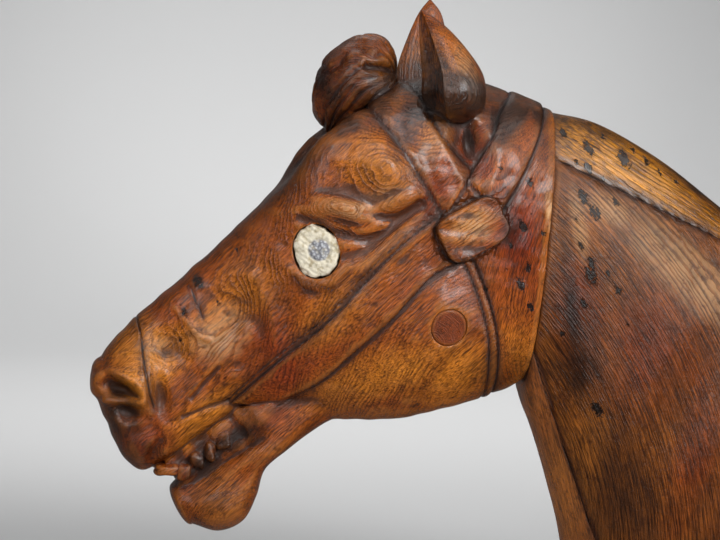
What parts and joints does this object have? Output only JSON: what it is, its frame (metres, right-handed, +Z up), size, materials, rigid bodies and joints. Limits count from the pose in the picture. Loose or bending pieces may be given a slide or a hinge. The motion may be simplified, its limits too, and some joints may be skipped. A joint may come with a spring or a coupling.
{
  "type": "carousel horse head bust",
  "caption": "Carved wooden carousel horse head and arched neck with a carved bridle, laid-back forelock and open mouth, cut flat below the neck to stand as a bust.",
  "frame": {"origin": "middle of the flat underside of the neck, on the plane the bust stands on", "axes": "+Z up, the horse looks along -X, its left side faces -Y"},
  "size_m": [0.7196, 0.1798, 0.579],
  "materials": {
    "head_wood": "varnished softwood, worn, with raised grain",
    "neck_wood": "varnished softwood, darker and worn smooth",
    "crest_wood": "varnished softwood, yellow-brown with dark streaks",
    "throat_wood": "varnished softwood",
    "putty": "rough dried filler",
    "plug_wood": "varnished end-grain plug"
  },
  "bodies": {
    "root": {"head_block": "head_wood", "neck_core": "neck_wood", "crest_board": "crest_wood", "throat_board": "throat_wood", "eye_filling_left": "putty", "eye_filling_right": "putty", "cheek_plug_left": "plug_wood", "cheek_plug_right": "plug_wood"}
  },
  "joints": []
}
